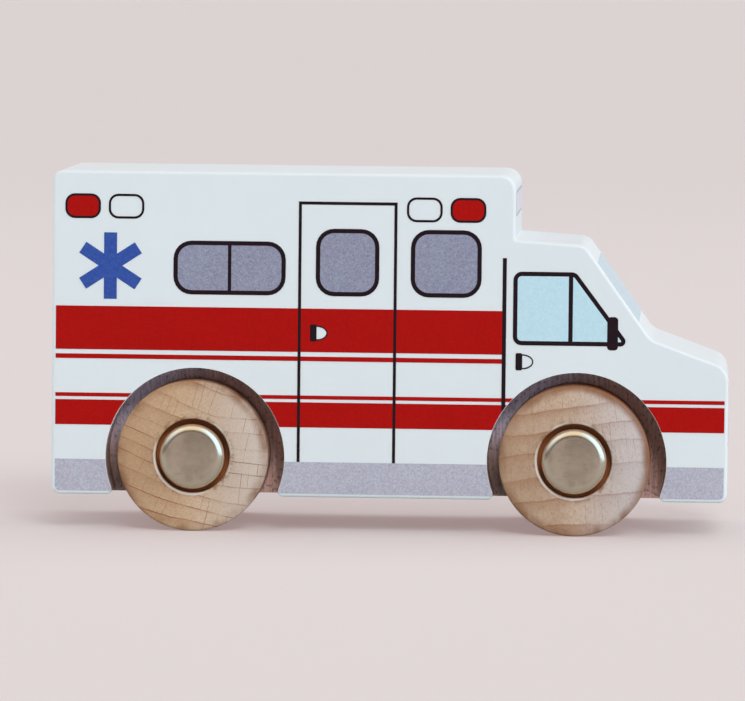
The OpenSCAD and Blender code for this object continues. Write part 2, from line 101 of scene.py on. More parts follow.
def angle(name, description, degrees):
    """An angle in radians whose default is given in degrees."""
    return FloatProperty(
        name=name, description=description, default=math.radians(degrees),
        subtype="ANGLE", unit="ROTATION",
    )


def share(name, description, default):
    """A plain factor."""
    return FloatProperty(name=name, description=description, default=default, subtype="FACTOR")


def linear(*levels):
    """Display levels from 0 to 255 as the linear values that a colour holds."""
    s = np.array(levels, float) / 255.0
    return tuple(np.where(s <= 0.04045, s / 12.92, ((s + 0.055) / 1.055) ** 2.4))


def colour(name, description, *levels):
    """A colour whose default is given in display levels from 0 to 255."""
    return FloatVectorProperty(
        name=name, description=description, default=linear(*levels), min=0.0, max=1.0,
        size=3, subtype="COLOR",
    )


class BodySettings(PropertyGroup):
    """Side outline, rounding and finish of the wooden body."""

    cab_roof_l: length("Cab roof", "Length of the cab roof", 11.55)
    cab_drop: length("Cab drop", "From the roof down to the cab roof", 10.6)
    cab_fall: length("Cab fall", "Fall of the cab roof to the windscreen", 0.8)
    windscreen_run: length("Windscreen run", "Length that the windscreen covers", 11.0)
    cowl_h: length("Cowl height", "Windscreen's foot over the underside", 26.9)
    bonnet_l: length("Bonnet", "Length of the bonnet", 12.85)
    nose_h: length("Nose height", "Bonnet's front edge over the underside", 22.2)
    sill_r: length("Sill radius", "Radius of the lower corners", 1.4)
    nose_r: length("Nose radius", "Radius of the nose", 3.2)
    cowl_r: length("Cowl radius", "Radius at the windscreen's foot", 3.5)
    cab_r: length("Cab radius", "Radius over the windscreen", 2.5)
    step_r: length("Step radius", "Radius from the box to the cab roof", 0.3)
    box_r: length("Box radius", "Radius of the roof's front corner", 2.6)
    tail_r: length("Tail radius", "Radius of the roof's rear corner", 1.6)
    edge_r: length("Edge radius", "Rounded edge around both sides", 0.6)
    lip_r: length("Lip radius", "Rounded edge around each wheel pocket", 0.06)
    toe_r: length("Toe radius", "Rounding from a pocket to the underside", 0.9)
    pocket_r: length("Pocket radius", "Radius of each wheel pocket", 14.83)
    pocket_lead: length("Pocket lead", "From the axle on to a pocket's middle", 0.35)
    pocket_drop: length("Pocket drop", "From the axle down to a pocket's middle", 0.25)
    pocket_depth: length("Pocket depth", "Depth of each wheel pocket", 8.0)
    bore_r: length("Bore radius", "Radius of the axle bores", 2.05)
    wear: share("Wear", "How far the edges vary in width", 0.16)
    paint: colour("Paint", "White paint", 221, 228, 232)
    raw_wood: colour("Raw wood", "Cut wood inside the pockets", 225, 201, 192)
    # Painted light in the pockets: cool at the upper rear, warm over the rest
    cool_tint: colour("Cool tint", "Painted cool light in the pockets at the upper rear", 211, 226, 255)
    painted_warm_light: colour("Warm tint", "Painted warm light over the rest of the pockets", 252, 227, 223)


class WheelSettings(PropertyGroup):
    """Turned profile and wood of the wheels."""

    rim_r: length("Rim rounding", "Rounding of the wheel's edges", 0.5)
    recess_r: length("Recess radius", "Radius of the recess for the cap", 6.15)
    recess_depth: length("Recess depth", "Depth of the recess for the cap", 2.4)
    mouth_r: length("Mouth rounding", "Rounding of the recess's mouth", 0.3)
    floor_r: length("Floor rounding", "Rounding at the foot of the recess", 0.2)
    bore_r: length("Bore radius", "Radius of the hole for the axle", 2.05)
    ring_pitch: share("Growth rings", "Millimetres between growth lines", 2.4)
    ray_pitch: share("Rays", "Millimetres between rays", 1.3)
    pale_wood: colour("Pale wood", "Wood between growth lines", 214, 187, 156)
    warm_wood: colour("Warm wood", "Wood next to a growth line", 184, 147, 113)
    # Painted sheen and painted light on the wheels, and their pale chips
    sheen_and_chip_wood: colour("Sheen and chip wood", "Painted sheen on one side, and pale chips", 206, 196, 189)
    # Painted shade on the rear of each wheel
    painted_shade_wood: colour("Painted shade wood", "Wood on the other side", 168, 128, 92)
    growth_line: colour("Growth line", "Thin dark line of late wood", 140, 87, 62)
    # Also painted shade at the upper front of each rim
    scorch_and_shade: colour("Scorched wood", "Wood browned by the lathe", 104, 66, 40)
    recess: colour("Recess", "Browned wood inside the recess", 174, 105, 58)
    cool_tint: colour("Cool tint", "Tint where growth lines are faint", 234, 240, 255)


class MetalSettings(PropertyGroup):
    """Steel of the caps and axles."""

    cap_edge_r: length("Cap rounding", "Rounding of the cap's face", 1.3)
    cap_back_r: length("Cap back", "Rounding of the cap's back", 0.25)
    cap_dish: length("Cap dish", "How far the cap's face sinks", 0.05)
    axle_bevel: length("Axle bevel", "Bevel on the axle's ends", 0.4)
    cap_steel: colour("Cap steel", "Satin face of the caps", 211, 188, 168)
    rim_steel: colour("Rim steel", "Polished rim of the caps", 218, 202, 181)
    axle_steel: colour("Axle steel", "Drawn steel of the axles", 188, 186, 182)


class PrintSettings(PropertyGroup):
    """Inks of the printed livery."""

    red: colour("Red", "Bands and red lamps", 167, 13, 9)
    silver: colour("Silver", "Sill bands, headlamps, marker's outline", 178, 177, 191)
    grey: colour("Grey", "Saloon and rear windows", 141, 143, 164)
    black: colour("Black", "Outlines and door lines", 34, 20, 26)
    screen: colour("Screen", "Windscreen", 192, 206, 216)
    marker: colour("Marker", "Panel over the cab", 214, 212, 223)
    pale_blue: colour("Pale blue", "Cab windows", 187, 217, 230)
    blue: colour("Blue", "Star", 54, 81, 157)


class StageSettings(PropertyGroup):
    """Floor, light and camera."""

    floor: colour("Floor", "Paper of the floor", 212, 217, 217)
    # Painted light that lifts and warms the floor's shadow
    glow: colour("Glow", "Even glow that lifts and warms the floor's shadow", 240, 205, 202)
    glow_share: share("Glow share", "How far the glow fills the shadow", 0.35)
    far_share: share("Far floor", "Tone of the floor far behind", 0.945)
    backdrop: colour("Backdrop", "Pale studio behind the floor", 217, 208, 207)
    dusk: colour("Dusk", "Dim room that metal mirrors", 130, 121, 117)
    ceiling: colour("Ceiling", "Warm ceiling that metal mirrors", 255, 248, 226)
    ceiling_level: share("Ceiling level", "Strength of the ceiling's light", 1.2)
    window: colour("Window", "Cool daylight that metal mirrors", 196, 230, 255)
    window_level: share("Window level", "Strength of that daylight", 2.3)
    focal_px: share("Focal length", "In pixels of the image", 6500.0)
    yaw: angle("Yaw", "Turn towards the nose", 2.899)
    pitch: angle("Pitch", "How far the camera looks down", 3.713)
    roll: angle("Roll", "Turn of the image", 0.581)
    distance: length("Distance", "From the camera to its aim", 1073.9)
    aim_x: length("Aim along the body", "Place that the camera looks at", -2.835, -100.0)
    aim_z: length("Aim height", "Height that the camera looks at", 30.35)
    ambient: share("Ambient", "Mean strength of the light from all round", 0.5)
    end_share: share("End share", "Part of it from beyond both ends", 0.85)
    key: share("Key light", "Strength of the light overhead", 0.76)
    fill: share("Fill light", "Strength of the light from the camera's side", 1.53)
    side: share("Side light", "Strength of the cool light from the front", 0.42)
    side_tint: colour("Side tint", "Colour of that cool light", 240, 247, 255)


class ToyAmbulanceSettings(PropertyGroup):
    """All settings of the toy."""

    body: PointerProperty(type=BodySettings)
    wheels: PointerProperty(type=WheelSettings)
    metal: PointerProperty(type=MetalSettings)
    print: PointerProperty(type=PrintSettings)
    stage: PointerProperty(type=StageSettings)


def settings():
    return bpy.context.scene.toy_ambulance


# Meshes


class Shell:
    """Collects grids of points and flat rings, and turns them into one mesh."""

    MERGE = 1e-6
    SHARP = math.radians(38)

    def __init__(self):
        self.points, self.faces, self.slots, self.smooth = [], [], [], []
        self.values = {}
        self.count = 0

    def grid(self, points, wrap_rows=False, wrap_columns=True, slot=0, **values):
        """Quads over points of shape (rows, columns, 3). The slot is one number or one a quad."""
        rows, columns = points.shape[:2]
        index = self.count + np.arange(rows * columns).reshape(rows, columns)
        i = np.arange(rows if wrap_rows else rows - 1)[:, None]
        j = np.arange(columns if wrap_columns else columns - 1)[None, :]
        below, beside = (i + 1) % rows, (j + 1) % columns
        quads = np.stack(
            [index[i, j], index[i, beside], index[below, beside], index[below, j]], axis=-1
        )
        self.faces += quads.reshape(-1, 4).tolist()
        self.slots.append(np.broadcast_to(slot, quads.shape[:2]).ravel())
        self.smooth.append(np.ones(i.size * j.size, bool))
        self.points.append(points.reshape(-1, 3))
        self.count += rows * columns
        for name, value in values.items():
            self.values.setdefault(name, []).append(value.reshape(-1, 3))
        self.last_row = index[-1].tolist()
        return self

    def flat(self):
        """One flat face round the last row of points."""
        self.faces.append(self.last_row)
        self.slots.append(np.zeros(1, int))
        self.smooth.append(np.zeros(1, bool))

    def piece(self, name, *materials):
        """The mesh as an object, with seams merged, faces turned outwards and corners sharp."""
        mesh = bpy.data.meshes.new(name)
        mesh.from_pydata(np.concatenate(self.points).tolist(), [], self.faces)
        slots = np.concatenate(self.slots).astype(np.int32)
        mesh.polygons.foreach_set("material_index", slots)
        mesh.polygons.foreach_set("use_smooth", np.concatenate(self.smooth))
        for value_name, parts in self.values.items():
            attribute = mesh.attributes.new(value_name, "FLOAT_VECTOR", "POINT")
            vectors = np.concatenate(parts).astype(np.float32)
            attribute.data.foreach_set("vector", vectors.ravel())
        work = bmesh.new()
        work.from_mesh(mesh)
        bmesh.ops.remove_doubles(work, verts=work.verts, dist=self.MERGE)
        bmesh.ops.recalc_face_normals(work, faces=work.faces)
        work.to_mesh(mesh)
        work.free()
        mesh.set_sharp_from_angle(angle=self.SHARP)
        for material in materials:
            mesh.materials.append(material)
        return linked(name, mesh)


def linked(name, data):
    """A new object in the scene."""
    made = bpy.data.objects.new(name, data)
    bpy.context.scene.collection.objects.link(made)
    return made


def unit(vectors):
    return vectors / np.linalg.norm(vectors, axis=-1, keepdims=True)


def quarter_turn(vectors):
    """Each plane vector turned a quarter to the left."""
    return np.stack([-vectors[..., 1], vectors[..., 0]], axis=-1)


def directions(angles):
    return np.stack([np.cos(angles), np.sin(angles)], axis=-1)


def corner_arcs(corners, steps):
    """Arcs that round the corners of closed outlines, each corner being two places and a radius r.

    Outlines run anticlockwise. With inward edge normals a and b, an arc's centre is the corner
    plus r (a + b) / (1 + a.b), on the other side for a hollow corner, and its normal turns from
    a to b. Returns the points and their inward normals, of shape (..., corners, steps + 1, 2).
    """
    place, radius = corners[..., :2], corners[..., 2:]
    along = unit(place - np.roll(place, 1, axis=-2))
    onward = unit(np.roll(place, -1, axis=-2) - place)
    before, after = quarter_turn(along), quarter_turn(onward)
    cosine = (along * onward).sum(-1)
    turn = np.arctan2((before * onward).sum(-1), cosine)
    reach = radius * np.sign(turn)[..., None]
    centre = place + reach * (before + after) / (1 + cosine)[..., None]
    start = np.arctan2(before[..., 1], before[..., 0])
    normals = directions(start[..., None] + turn[..., None] * np.linspace(0, 1, steps + 1))
    return centre[..., None, :] - reach[..., None, :] * normals, normals


def drift(turns, seed, waves=5):
    """Smooth wander between 0 and 1 round a closed path: a sum of sines of 1, 2, 3... waves."""
    rng = np.random.default_rng(seed)
    order = np.arange(1, waves + 1)
    phase = rng.uniform(0, 2 * np.pi, waves)
    sines = np.sin(2 * np.pi * turns[..., None] * order + phase) / np.sqrt(order)
    return 0.5 + 0.5 * sines.sum(-1) / (1 / np.sqrt(order)).sum()


def lathe(profile, turns, centre, side):
    """Points (turns, profile, 3): a profile (radius, way out) carried round an axle along Y."""
    way = directions(2 * np.pi * turns)[:, None, :]
    radius, out = profile[..., 0], profile[..., 1]
    x = centre[0] + radius * way[..., 0]
    z = centre[1] + radius * way[..., 1]
    return np.stack([x, side * np.broadcast_to(out, x.shape), z], axis=-1)


def disc_centre(node):
    """Of a turned CAD node: middle in x and z, radius, and how far out it starts and ends."""
    low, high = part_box(node)
    inner, outer = sorted((abs(low.y), abs(high.y)))
    return np.array([low.x + high.x, low.z + high.z]) / 2, (high.x - low.x) / 2, inner, outer


# Shader nodes


class Net:
    """Adds nodes to one shader tree and feeds their inputs from values or sockets."""

    def __init__(self, tree):
        self.tree = tree

    def feed(self, node, inputs):
        """Sets each named input to a constant or links it to a socket."""
        for name, value in inputs.items():
            if isinstance(value, NodeSocket):
                self.tree.links.new(value, node.inputs[name])
            else:
                node.inputs[name].default_value = value

    def add(self, kind, inputs=None, **options):
        node = self.tree.nodes.new(kind)
        for name, value in options.items():
            setattr(node, name, value)
        self.feed(node, inputs or {})
        return node

    def math(self, operation, *values):
        node = self.add("ShaderNodeMath", dict(enumerate(values)), operation=operation)
        return node.outputs[0]

    def times(self, *values):
        return reduce(lambda first, second: self.math("MULTIPLY", first, second), values)

    def plus(self, *values):
        return reduce(lambda first, second: self.math("ADD", first, second), values)

    def minus(self, first, second):
        return self.math("SUBTRACT", first, second)

    def mix(self, factor, first, second, blend="MIX"):
        inputs = {0: factor, 6: first, 7: second}
        return self.add("ShaderNodeMix", inputs, data_type="RGBA", blend_type=blend).outputs[2]

    def layers(self, tone, *layers):
        """A tone with colours laid over it, each with its factor, level and blend."""
        for factor, rgb, level, *blend in layers:
            tone = self.mix(factor, tone, opaque(rgb, level), *blend)
        return tone

    def ramp(self, value, low, high, to_low=0, to_high=1):
        """Smooth step of a value from low to high."""
        inputs = {"Value": value, "From Min": low, "From Max": high}
        inputs |= {"To Min": to_low, "To Max": to_high}
        node = self.add("ShaderNodeMapRange", inputs, interpolation_type="SMOOTHSTEP")
        return node.outputs["Result"]

    def objects(self):
        return self.add("ShaderNodeTexCoord").outputs["Object"]

    def noise(self, vector, scale, detail=3, roughness=0.55):
        inputs = {"Vector": vector, "Scale": scale, "Detail": detail, "Roughness": roughness}
        return self.add("ShaderNodeTexNoise", inputs).outputs[0]

    def streaks(self, vector, scales, detail=3, roughness=0.55, turn=0):
        """Noise with its own scale along each axis, turned about Y."""
        inputs = {"Vector": vector, "Scale": scales, "Rotation": (0, turn, 0)}
        stretched = self.add("ShaderNodeMapping", inputs).outputs[0]
        return self.noise(stretched, 1, detail, roughness)

    def attribute(self, name):
        return self.add("ShaderNodeAttribute", attribute_name=name).outputs["Vector"]

    def chance(self, value):
        """One random level for each value."""
        node = self.add("ShaderNodeTexWhiteNoise", {"W": value}, noise_dimensions="1D")
        return node.outputs["Value"]

    def parts(self, vector):
        return self.add("ShaderNodeSeparateXYZ", {0: vector}).outputs

    def group(self, tree, inputs):
        return self.add("ShaderNodeGroup", inputs, node_tree=tree).outputs


def shader_group(name, inputs, outputs):
    """An empty shader group with named sockets, and the net and input sockets to fill it."""
    tree = bpy.data.node_groups.new(name, "ShaderNodeTree")

    def new_socket(socket, way):
        kind = "NodeSocketColor" if socket == "Colour" else "NodeSocketFloat"
        return tree.interface.new_socket(name=socket, in_out=way, socket_type=kind)

    for socket, default in inputs.items():
        new_socket(socket, "INPUT").default_value = default
    for socket in outputs:
        new_socket(socket, "OUTPUT")
    net = Net(tree)
    return net, net.add("NodeGroupInput").outputs


def close_group(net, results):
    net.add("NodeGroupOutput", results)
    return net.tree


def patchy_roughness(net, given, place, scale):
    """The given roughness, spread up and down in patches."""
    patches = net.minus(net.noise(place, scale, 4), 0.5)
    return net.math("MULTIPLY_ADD", patches, given["Spread"], given["Roughness"])


@cache
def satin_group():
    """Brushed-on satin surface: orange peel, faint grain along the body and specks of dust."""
    PEEL, SPECKS, PATCHES = 900, 260, 180
    inputs = {"Roughness": 0.4, "Spread": 0.1, "Grain": 0.5}
    net, given = shader_group("satin_surface", inputs, ("Roughness", "Height"))
    place = net.objects()
    peel = net.noise(place, PEEL, 2)
    grain = net.streaks(place, (60, 1500, 1500), 4, 0.65)
    cells = net.add("ShaderNodeTexVoronoi", {"Vector": place, "Scale": SPECKS}).outputs
    speck = net.ramp(cells["Distance"], 0.07, 0)
    chosen = net.ramp(net.parts(cells["Color"])[0], 0.86, 0.9)
    height = net.math("MULTIPLY_ADD", grain, given["Grain"], peel)
    height = net.plus(height, net.times(speck, chosen))
    rough = patchy_roughness(net, given, place, PATCHES)
    return close_group(net, {"Roughness": rough, "Height": height})


@cache
def speckle_group():
    """Ink in fine dots: cells and a wash that shift a colour lighter, darker, warmer, cooler."""
    WASH, FAINT = 90, 0.4
    inputs = {"Colour": (0.5, 0.5, 0.5, 1), "Strength": 0.2, "Dots": 3600}
    net, given = shader_group("ink_speckle", inputs, ("Colour",))
    place = net.objects()
    cells = net.add("ShaderNodeTexVoronoi", {"Vector": place, "Scale": given["Dots"]})
    dots = cells.outputs["Color"]
    level = net.add("ShaderNodeRGBToBW", {0: dots}).outputs[0]
    faint = net.times(given["Strength"], FAINT)
    tinted = net.mix(given["Strength"], given["Colour"], level, "SOFT_LIGHT")
    tinted = net.mix(faint, tinted, dots, "SOFT_LIGHT")
    tinted = net.mix(faint, tinted, net.noise(place, WASH), "SOFT_LIGHT")
    return close_group(net, {"Colour": tinted})


@cache
def metal_group():
    """Fine grains and stray scratches on steel."""
    GRAINS, PATCHES = 2600, 420
    inputs = {"Roughness": 0.3, "Spread": 0.15}
    net, given = shader_group("steel_marks", inputs, ("Roughness", "Height"))
    place = net.objects()
    fine = net.noise(place, GRAINS, 3, 0.7)
    scratch = net.streaks(place, (400, 400, 5200), 2, turn=0.6)
    height = net.minus(fine, net.ramp(scratch, 0.66, 0.74))
    rough = patchy_roughness(net, given, place, PATCHES)
    return close_group(net, {"Roughness": rough, "Height": height})


class Surface(Net):
    """The net of a new material, with one Principled shader on its output."""

    def __init__(self, name):
        self.material = bpy.data.materials.new(name)
        self.material.use_nodes = True
        super().__init__(self.material.node_tree)
        self.tree.nodes.clear()
        self.shader = self.add("ShaderNodeBsdfPrincipled")
        self.output = self.add("ShaderNodeOutputMaterial", {"Surface": self.shader.outputs[0]})

    def coat(self, tone, roughness, height, relief, specular=0.5, metallic=0):
        """The material, with a bump height that stands for a relief in metres."""
        bump = {"Height": height, "Distance": relief, "Strength": 1}
        self.feed(self.shader, {
            "Base Color": tone,
            "Roughness": roughness,
            "Normal": self.add("ShaderNodeBump", bump).outputs[0],
            "Specular IOR Level": specular,
            "Metallic": metallic,
        })
        return self.material


def opaque(rgb, level=1):
    return tuple(level * v for v in rgb) + (1,)


# Body


def body_outline(sizes, low, high, steps=10):
    """Points and inward normals of the rounded side outline, one row of arcs for each corner.

    Corners run anticlockwise from the tail's foot: sill, nose, cowl, cab, step, box and tail.
    """
    cowl_x = high.x - sizes.bonnet_l
    cab_x = cowl_x - sizes.windscreen_run
    box_x = cab_x - sizes.cab_roof_l
    step_z = high.z - sizes.cab_drop
    corners = np.array([
        (low.x, low.z, sizes.sill_r),
        (high.x, low.z, sizes.sill_r),
        (high.x, low.z + sizes.nose_h, sizes.nose_r),
        (cowl_x, low.z + sizes.cowl_h, sizes.cowl_r),
        (cab_x, step_z - sizes.cab_fall, sizes.cab_r),
        (box_x, step_z, sizes.step_r),
        (box_x, high.z, sizes.box_r),
        (low.x, high.z, sizes.tail_r),
    ])
    return corner_arcs(corners, steps)


def arch_outline(sizes, middle, under_z, steps=10, arch_steps=72):
    """One wheel arch from toe to toe: a fillet, the pocket's circle and a fillet.

    A fillet of radius t touches the underside and the circle of radius R from outside, so its
    centre lies t above the underside and R + t from the circle's. Returns points, inward normals
    and how far each point belongs to the pocket, from 0 at the underside to 1 on the circle.
    """
    drop = middle[1] - under_z
    reach = math.sqrt((sizes.pocket_r + sizes.toe_r) ** 2 - (drop - sizes.toe_r) ** 2)
    lean = math.atan2(drop - sizes.toe_r, reach)
    rear = directions(np.linspace(np.pi / 2, np.pi + lean, steps + 1))
    ring = directions(np.linspace(np.pi + lean, -lean, arch_steps + 1)[1:-1])
    front = directions(np.linspace(-lean, np.pi / 2, steps + 1))
    rise = np.linspace(0, 1, steps + 1)
    points = np.concatenate([
        middle + (-reach, sizes.toe_r - drop) - sizes.toe_r * rear,
        middle + sizes.pocket_r * ring,
        middle + (reach, sizes.toe_r - drop) - sizes.toe_r * front,
    ])
    pocket = np.concatenate([rise, np.ones(len(ring)), rise[::-1]])
    return points, np.concatenate([rear, ring, front]), pocket


def at_depth(points, y):
    """Plane points (x, z) as points in space at depth y."""
    depth = np.broadcast_to(y, points.shape[:-1])
    return np.stack([points[..., 0], depth, points[..., 1]], axis=-1)


def side_rings(points, normals, radius, side_y, floor_y, side, steps=7, rim=0.05 * MM):
    """Rings from the pocket floors out to one side: straight out, round the edge, then a rim.

    Round the edge of radius r a ring at angle a moves inwards by r (1 - cos a) and lies
    r (1 - sin a) below the side.
    """
    a = np.linspace(0, np.pi / 2, steps + 1)[:, None]
    count = len(radius)
    inset = [np.zeros((1, count)), radius * (1 - np.cos(a)), [radius + rim]]
    edge = side_y - radius * (1 - np.sin(a))
    depth = [np.full((1, count), floor_y), edge, np.full((1, count), side_y)]
    shrunk = points + normals * np.concatenate(inset)[..., None]
    return at_depth(shrunk, side * np.concatenate(depth))


def body_shell(sizes, axles):
    """The body: two sides with arches, a core between the pocket floors, the floors and the bores.

    The edge's radius wanders along the outline, and falls to the lip's radius at the pockets.
    """
    PAINT, POCKET = 0, 1
    SPAN_STEPS, FLOOR_RINGS = 18, 4
    WEAR_SEED, WEAR_WAVES = 3, 24
    low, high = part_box("body")
    corner_points, corner_normals = body_outline(sizes, low, high)
    shift = np.array([sizes.pocket_lead, -sizes.pocket_drop])
    arches = [arch_outline(sizes, axle + shift, low.z) for axle in axles]
    first, rest = corner_points[0], corner_points[1:].reshape(-1, 2)
    points, normals, pocket = (
        np.concatenate(parts)
        for parts in zip(
            (first, corner_normals[0], np.zeros(len(first))),
            *arches,
            (rest, corner_normals[1:].reshape(-1, 2), np.zeros(len(rest))),
        )
    )
    walk = np.cumsum(np.linalg.norm(points - np.roll(points, 1, axis=0), axis=1))
    worn = 1 - sizes.wear * drift(walk / walk[-1], WEAR_SEED, WEAR_WAVES)
    radius = worn * (sizes.edge_r + (sizes.lip_r - sizes.edge_r) * pocket)
    floor_y = high.y - sizes.pocket_depth

    shell = Shell()
    inside = np.minimum(pocket, np.roll(pocket, -1)) > 0.5
    for side in SIDES.values():
        rings = side_rings(points, normals, radius, high.y, floor_y, side)
        slot = np.full((len(rings) - 1, len(points)), PAINT)
        slot[0, inside] = POCKET
        shell.grid(rings, slot=slot)
        shell.flat()

    spans = [np.linspace(arch[0], arch[-1], SPAN_STEPS + 1) for arch, _, _ in arches]
    core = np.concatenate([first, *spans, rest])
    shell.grid(np.stack([at_depth(core, -floor_y), at_depth(core, floor_y)]))

    for axle, (arch, _, _), span in zip(axles, arches, spans):
        bound = np.concatenate([arch, span[-2:0:-1]]) - axle
        far = np.linalg.norm(bound, axis=1, keepdims=True)
        part = np.linspace(0, 1, FLOOR_RINGS + 1)[:, None, None]
        floor = axle + bound / far * (sizes.bore_r + part * (far - sizes.bore_r))
        for side in SIDES.values():
            shell.grid(at_depth(floor, side * floor_y), slot=POCKET)
        bore = [at_depth(floor[0], y) for y in (-floor_y, floor_y)]
        shell.grid(np.stack(bore), slot=POCKET)
    return shell


def paint_material(look):
    """White satin paint: slight mottling and grain showing through."""
    CLOUDS, GRAINS = 55, 700
    net = Surface("white_paint")
    place = net.objects()
    cloud = net.noise(place, CLOUDS, 4)
    tone = net.mix(cloud, opaque(look.paint, 0.965), opaque(look.paint, 1.02))
    fine = net.times(net.noise(place, GRAINS), 0.1)
    tone = net.layers(tone, (fine, look.paint, 0.8))
    satin = net.group(satin_group(), {"Roughness": 0.42, "Spread": 0.16, "Grain": 0.8})
    return net.coat(tone, satin["Roughness"], satin["Height"], 0.012 * MM, 0.45)


def pocket_material(look, side_y, axle_x, wheelbase):
    """Raw wood cut by a router: dark upright fibres, torn pits and a ragged painted lip.

    The way along the body is counted in wheelbases, so that both pockets share their painted light:
    cool painted light towards the upper rear, painted shade towards the lower rear and warm painted
    light elsewhere.
    """
    CLOUDS, RAGS, RAG_DEPTH = 240, 1400, 0.4 * MM
    net = Surface("pocket_wood")
    place = net.objects()
    wood = look.raw_wood
    fibres = net.streaks(place, (2600, 420, 170), 5, 0.7)
    tone = net.mix(net.ramp(fibres, 0.3, 0.72), opaque(wood, 0.62), opaque(wood, 1.12))
    cloud = net.ramp(net.noise(place, CLOUDS), 0.4, 0.75, 0, 0.6)
    pits = net.ramp(net.streaks(place, (1900, 1300, 1500), 3, 0.6), 0.52, 0.68)
    tone = net.layers(tone, (cloud, wood, 0.75), (net.times(pits, 0.75), wood, 0.28))
    x, y, z = net.parts(place)
    along = net.math("DIVIDE", net.minus(x, axle_x), wheelbase)
    within = net.math("FRACT", net.plus(along, 0.5))
    # Painted cool light at each pocket's upper rear, painted warm light over the rest
    cool = net.times(net.ramp(within, 0.62, 0.34), net.ramp(z, 10 * MM, 20 * MM))
    tint = net.mix(cool, opaque(look.painted_warm_light, 1.12), opaque(look.cool_tint, 2.3))
    tone = net.mix(1, tone, tint, "MULTIPLY")
    # Painted shade: darker towards each pocket's lower rear
    low = net.times(net.ramp(within, 0.5, 0.34), net.ramp(z, 18 * MM, 9 * MM, 0, 0.6))
    depth = net.minus(side_y, net.math("ABSOLUTE", y))
    ragged = net.math("MULTIPLY_ADD", net.noise(place, RAGS), -RAG_DEPTH, depth)
    lip = net.times(net.ramp(ragged, 0.08 * MM, -0.05 * MM), 0.6)
    tone = net.layers(tone, (low, wood, 0.25), (lip, look.paint, 0.93))
    rough = net.ramp(fibres, 0.2, 0.8, 0.62, 0.86)
    return net.coat(tone, rough, net.minus(fibres, pits), 0.06 * MM, 0.25)


# Wheels


def wheel_shell(node, side, wood, sizes, turns=176):
    """A turned disc: a rounded profile carried round the axle, with a chipped mouth to its recess.

    The mouth's rounding grows where chips are: its radius is a base plus a sum of narrow bells
    over the turn. Growth rings are circles round the tree's pith, so each point keeps its way
    along its ring, its depth and its way in towards the pith, then its place on the lathe
    (radius, depth and chip) and on the disc, with the strength of the wheel's growth lines
    between the two.
    """
    CHIPS, ARC_STEPS = 9, 6
    pith, ring_scale, line_share, seed = wood
    pith = np.array(pith)
    rng = np.random.default_rng(seed)
    centre, radius, inner, outer = disc_centre(node)
    turn = np.arange(turns) / turns
    away = np.abs(turn[:, None] - rng.uniform(0, 1, CHIPS))
    bells = np.exp(-((np.minimum(away, 1 - away) / rng.uniform(0.006, 0.03, CHIPS)) ** 2))
    chips = np.clip((bells * rng.uniform(0.2, 1, CHIPS)).sum(1), 0, 1)
    mouth = sizes.mouth_r * (0.65 + 0.3 * drift(turn, seed) + 0.95 * chips)
    rim = sizes.rim_r * (0.75 + 0.4 * drift(turn, seed + 1))
    floor = outer - sizes.recess_depth
    still = np.zeros(turns)
    corners = [
        (sizes.bore_r, inner, 0),
        (radius, inner, rim),
        (radius, outer, rim),
        (sizes.recess_r, outer, mouth),
        (sizes.recess_r, floor, sizes.floor_r),
        (sizes.bore_r, floor, 0),
    ]
    rows = [np.stack([still + part for part in corner], axis=-1) for corner in corners]
    profile = corner_arcs(np.stack(rows, axis=1), ARC_STEPS)[0].reshape(turns, -1, 2)
    points = lathe(profile, turn, centre, side)
    local = points[..., [0, 2]] - centre
    way = pith - local / MM
    reach = np.linalg.norm(pith)
    turn_in_tree = np.arctan2(way[..., 1] * pith[0] - way[..., 0] * pith[1], way @ pith)
    across = reach - np.linalg.norm(way, axis=-1)
    depth = (outer - profile[..., 1]) / MM
    offset = rng.uniform(20, 60, 3)
    grain = np.stack([reach * turn_in_tree, depth, across * ring_scale], axis=-1) + offset
    chip = np.broadcast_to(chips[:, None], depth.shape)
    turned = np.stack([profile[..., 0] / MM, depth, chip], axis=-1)
    disc = at_depth(local / radius, line_share)
    return Shell().grid(points, wrap_rows=True, grain=grain, turned=turned, disc=disc)


def growth_rings(net, look, grain, across, line_share):
    """Each growth ring's number, how far its wood is late wood, and the thin line at its end."""
    bend = net.streaks(grain, (0.04, 0.08, 0.1), 1)
    sway = net.streaks(grain, (0.4, 0.3, 0.5))
    rings = net.plus(
        net.math("DIVIDE", across, look.ring_pitch),
        net.times(bend, 2),
        net.times(sway, 0.17),
    )
    ring, within = net.math("FLOOR", rings), net.math("FRACT", rings)
    soft = net.minus(1.25, net.times(line_share, 0.8))
    late = net.times(net.math("POWER", within, 2.4), soft)
    late = net.plus(late, net.times(net.chance(ring), 0.45))
    patchy = net.streaks(grain, (0.25, 0.4, 0.9))
    line = net.times(
        net.ramp(within, 0.88, 0.96),
        net.ramp(within, 1, 0.985),
        net.ramp(net.chance(net.plus(ring, 0.5)), 0, 0.5, 0.4, 1),
        net.ramp(patchy, 0.32, 0.62, 0.1, 1),
        line_share,
    )
    return ring, late, line


def wood_rays(net, look, grain, along, ring):
    """Thin rays across the growth rings, each with its own strength within a ring."""
    RAYS_A_RING = 17
    bend = net.streaks(grain, (0.3, 0.3, 0.07), 1)
    rays = net.plus(net.math("DIVIDE", along, look.ray_pitch), net.times(bend, 1.6))
    middle = net.math("ABSOLUTE", net.minus(net.math("FRACT", rays), 0.5))
    cell = net.plus(net.math("FLOOR", rays), net.times(ring, RAYS_A_RING))
    return net.times(
        net.ramp(middle, 0.06, 0),
        net.ramp(net.chance(cell), 0.35, 0.9, 0.05, 1),
        net.ramp(net.noise(grain, 0.3), 0.28, 0.5),
    )


